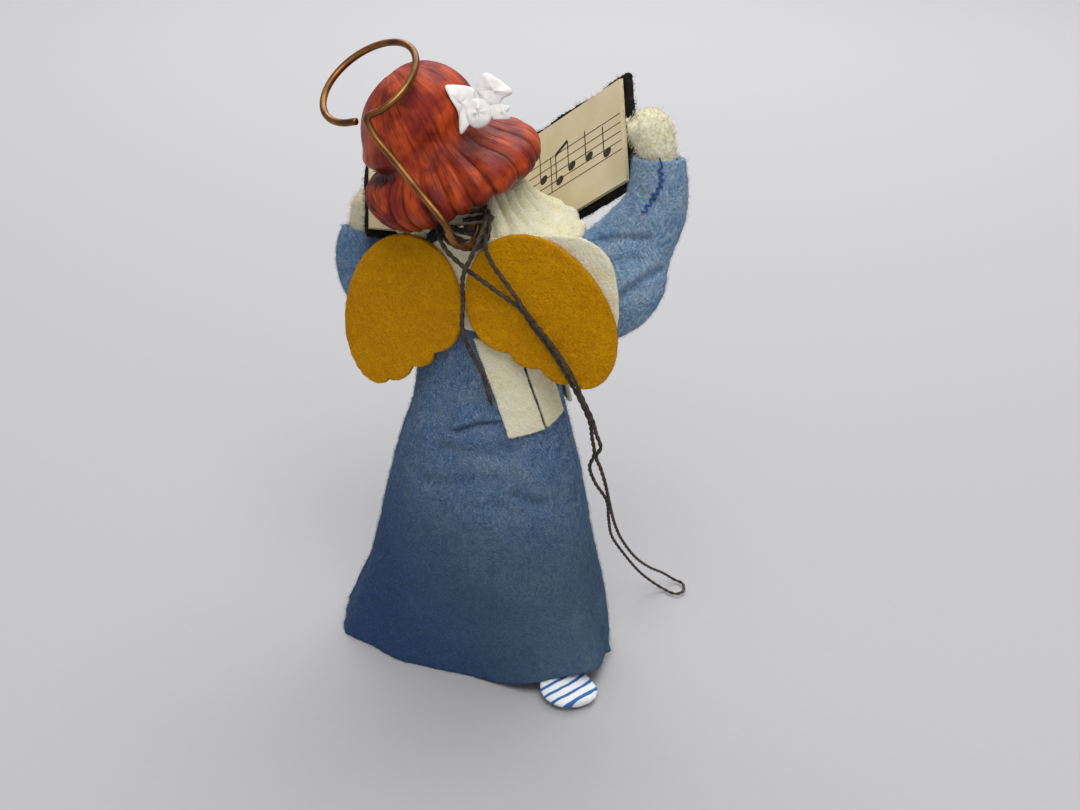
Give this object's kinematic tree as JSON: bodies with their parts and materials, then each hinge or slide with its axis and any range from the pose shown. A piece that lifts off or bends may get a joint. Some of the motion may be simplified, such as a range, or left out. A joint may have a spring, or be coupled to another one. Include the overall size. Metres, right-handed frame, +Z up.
{
  "type": "christmas angel ornament",
  "caption": "Felt caroling angel doll with a wire halo, felt wings, a cream pinafore and an open song book, hung by a waxed cord loop.",
  "frame": {"origin": "on the floor under the middle of the doll's box, its free cord left out", "axes": "+Z up from the hem to the halo, -Y the way the doll faces, +X to the doll's left"},
  "size_m": [0.091, 0.0715, 0.1513],
  "materials": {
    "dress_felt": "brushed heathered blue felt",
    "fleece": "cream fleece",
    "pinafore_felt": "cream felt",
    "sock_knit": "white knit with thin blue rings",
    "wing_felt": "mustard felt",
    "face_resin": "painted cast resin, satin",
    "hair_resin": "auburn painted cast resin, semi gloss",
    "bow_resin": "white painted cast resin",
    "dowel_wood": "bare wood",
    "halo_wire": "bronzed wire",
    "cover_felt": "black felt over board",
    "page_card": "layered cream card",
    "waxed_cord": "dark brown waxed twist"
  },
  "bodies": {
    "doll": {"dress_back": "dress_felt", "dress_front": "dress_felt", "right_sleeve": "dress_felt", "left_sleeve": "dress_felt", "torso": "fleece", "right_arm": "fleece", "left_arm": "fleece", "neck_gather": "pinafore_felt", "pinafore_collar": "pinafore_felt", "pinafore_back": "pinafore_felt", "pinafore_front": "pinafore_felt", "sash_tail_inner": "pinafore_felt", "sash_tail_outer": "pinafore_felt", "left_wing": "wing_felt", "right_wing": "wing_felt", "head": "face_resin", "hair": "hair_resin", "hair_bow": "bow_resin", "neck_dowel": "dowel_wood", "halo": "halo_wire", "book_cover": "cover_felt", "book_page_left": "page_card", "book_page_right": "page_card", "neck_binding": "waxed_cord", "hanging_loop": "waxed_cord", "cord_tail": "waxed_cord"},
    "right_leg": {"right_leg": "sock_knit"},
    "left_leg": {"left_leg": "sock_knit"}
  },
  "joints": [
    {"name": "right_hip", "type": "hinge", "parent": "doll", "child": "right_leg", "pos_m": [-0.01119, 0.00935, 0.053], "axis": [0.6951, 0.7189, 0], "range_deg": [-30, 0]},
    {"name": "left_hip", "type": "hinge", "parent": "doll", "child": "left_leg", "pos_m": [0.00581, 0.00935, 0.053], "axis": [-0.7682, -0.6402, 0], "range_deg": [-18, 3]}
  ]
}
